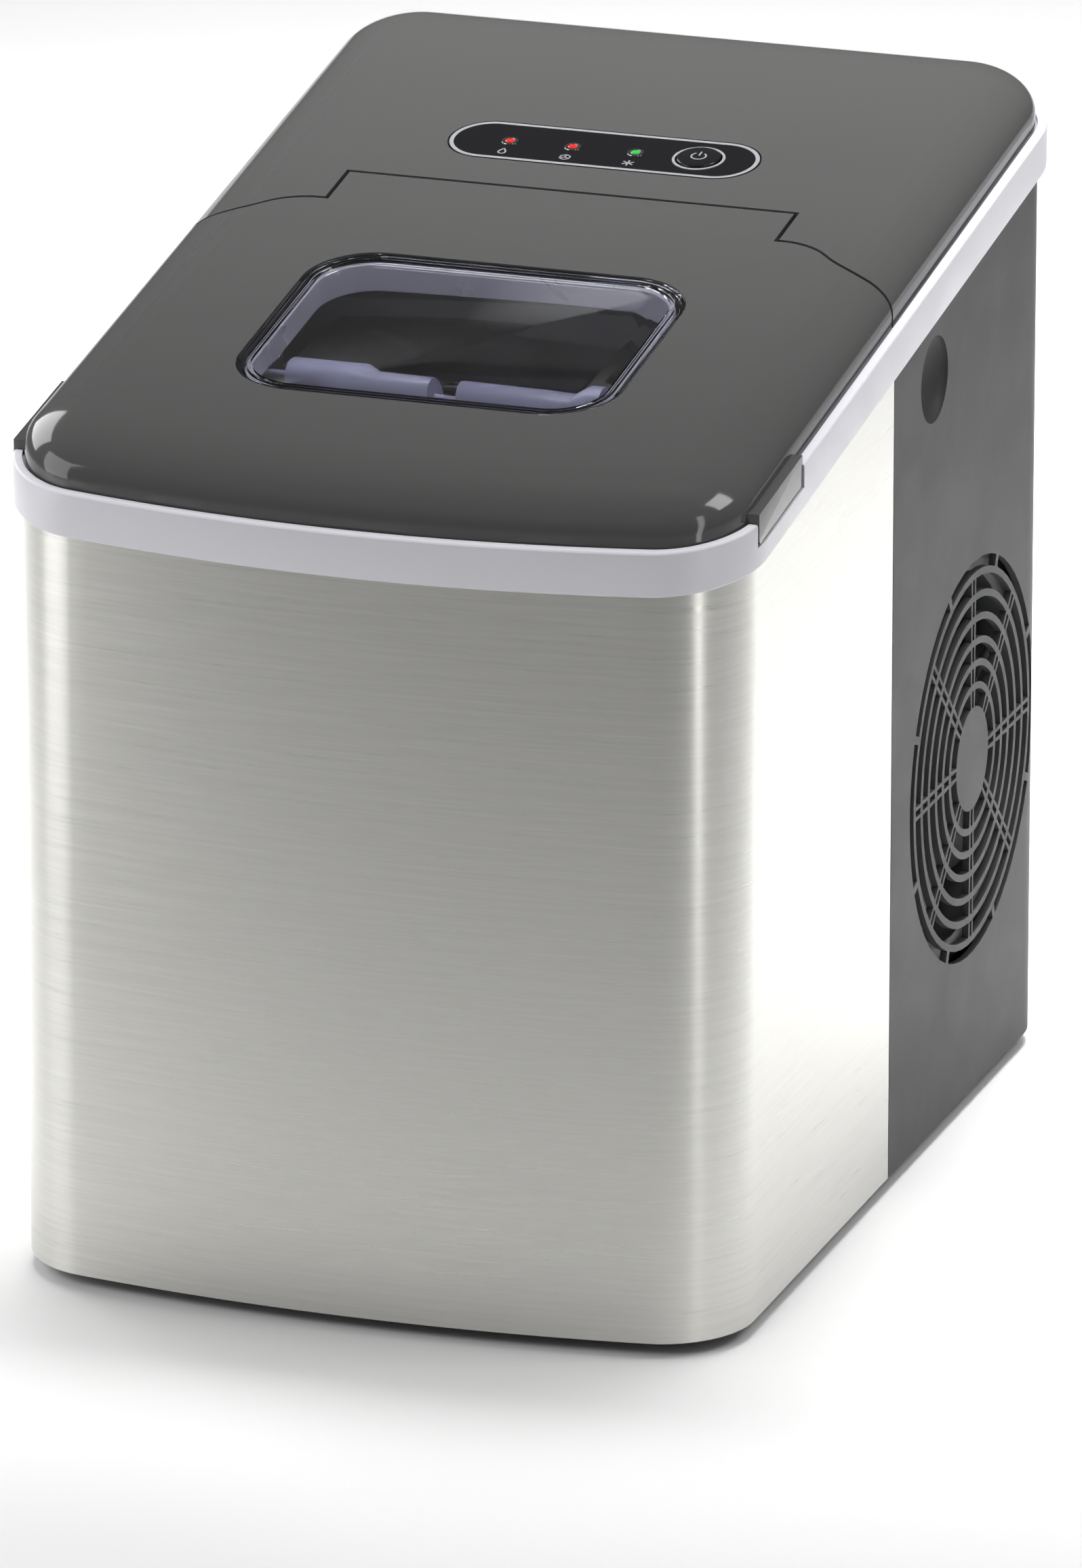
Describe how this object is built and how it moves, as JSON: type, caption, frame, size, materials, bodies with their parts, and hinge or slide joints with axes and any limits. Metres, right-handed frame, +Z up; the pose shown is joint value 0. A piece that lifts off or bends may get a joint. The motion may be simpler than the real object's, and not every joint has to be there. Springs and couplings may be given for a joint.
{
  "type": "ice maker",
  "caption": "Countertop ice maker with a sloped hinged lid, clear window, bowed steel front, white bezel and a dark plastic rear housing with round fan grilles.",
  "frame": {"origin": "on the floor under the middle of the machine's footprint", "axes": "+X to the machine's right as its front is faced, +Y from its front to its back, +Z up"},
  "size_m": [0.242, 0.358, 0.3275],
  "materials": {
    "pan_plastic": "moulded, fine texture",
    "brushed_steel": "fine horizontal brushing",
    "housing_plastic": "satin, fine spark texture",
    "rubber_black": "moulded rubber",
    "bezel_white": "satin white",
    "cover_gloss": "polished dark grey",
    "panel_black": "printed film",
    "lamp_red": "tinted lens",
    "lamp_green": "tinted lens",
    "button_black": "printed film",
    "circuit_board": "solder mask",
    "pin_steel": "ground steel",
    "window_clear": "clear with a faint violet tint",
    "liner_grey": "vacuum formed",
    "foam_white": "expanded foam beads",
    "basket_clear_grey": "translucent smoky plastic",
    "sensor_white": "moulded",
    "float_blue": "moulded",
    "frame_dark": "moulded",
    "nickel_plate": "nickel plated",
    "tray_grey": "translucent grey plastic",
    "shovel_lilac": "translucent lilac-grey plastic",
    "hose_silicone": "milky silicone",
    "compressor_black": "black paint, semi gloss",
    "relay_cream": "moulded",
    "fin_aluminium": "bare",
    "fan_grey": "moulded",
    "copper_tube": "drawn copper"
  },
  "bodies": {
    "cabinet": {"base_pan": "pan_plastic", "foot_front_left": "rubber_black", "foot_front_right": "rubber_black", "foot_back_left": "rubber_black", "foot_back_right": "rubber_black", "steel_wrap": "brushed_steel", "rear_housing": "housing_plastic", "rear_screw_left": "pin_steel", "rear_screw_right": "pin_steel", "cord_gland": "rubber_black", "bezel": "bezel_white", "rear_cover": "cover_gloss", "control_overlay": "panel_black", "lamp_add_water": "lamp_red", "lamp_ice_full": "lamp_red", "lamp_making_ice": "lamp_green", "control_board": "circuit_board", "hinge_pin_right": "pin_steel", "hinge_pin_left": "pin_steel", "liner": "liner_grey", "insulation": "foam_white", "ice_chute": "liner_grey", "ice_sensor_right": "sensor_white", "ice_sensor_left": "sensor_white", "float_stem": "sensor_white", "mechanism_frame": "frame_dark", "evaporator": "nickel_plate", "tray_motor": "sensor_white", "water_pump": "frame_dark", "fill_hose": "hose_silicone", "drain_tube": "hose_silicone", "compressor": "compressor_black", "compressor_mount_1": "rubber_black", "compressor_mount_2": "rubber_black", "compressor_mount_3": "rubber_black", "relay_cover": "relay_cream", "condenser": "fin_aluminium", "fan_shroud": "frame_dark", "fan_motor": "fin_aluminium", "suction_line": "copper_tube", "discharge_line": "copper_tube", "liquid_line": "copper_tube", "filter_drier": "copper_tube", "power_board": "circuit_board"},
    "lid": {"lid_frame": "cover_gloss", "lid_window": "window_clear"},
    "power_button": {"on_off_button": "button_black"},
    "basket": {"ice_basket": "basket_clear_grey"},
    "tray": {"water_tray": "tray_grey"},
    "shovel": {"ice_shovel": "shovel_lilac"},
    "fan": {"fan_blade": "fan_grey"},
    "float": {"level_float": "float_blue"},
    "drain_stopper": {"drain_cap": "rubber_black"}
  },
  "joints": [
    {"name": "lid_hinge", "type": "hinge", "parent": "cabinet", "child": "lid", "pos_m": [0, 0.02, 0.30324], "axis": [-1, 0, 0], "range_deg": [0, 100]},
    {"name": "button_press", "type": "slide", "parent": "cabinet", "child": "power_button", "axis": [0, 0, -1], "range_m": [0, 0.0008], "stiffness_N_per_m": 400},
    {"name": "basket_lift", "type": "slide", "parent": "cabinet", "child": "basket", "axis": [0, 0, 1], "range_m": [0, 0.07]},
    {"name": "tray_tilt", "type": "hinge", "parent": "cabinet", "child": "tray", "pos_m": [0, -0.036, 0.21217], "axis": [1, 0, 0], "range_deg": [0, 65]},
    {"name": "shovel_swing", "type": "hinge", "parent": "cabinet", "child": "shovel", "pos_m": [0, -0.086, 0.27305], "axis": [-1, 0, 0], "range_deg": [0, 18.5]},
    {"name": "fan_spin", "type": "hinge", "parent": "cabinet", "child": "fan", "pos_m": [0, 0.083, 0.118], "axis": [1, 0, 0], "continuous": true},
    {"name": "float_rise", "type": "slide", "parent": "cabinet", "child": "float", "axis": [0, 0, 1], "range_m": [0, 0.028]},
    {"name": "drain_cap_pull", "type": "slide", "parent": "cabinet", "child": "drain_stopper", "axis": [0, 1, 0], "range_m": [0, 0.012]}
  ],
  "couplings": [
    {"joint": "shovel_swing", "follows": "tray_tilt", "ratio": 0.28}
  ]
}
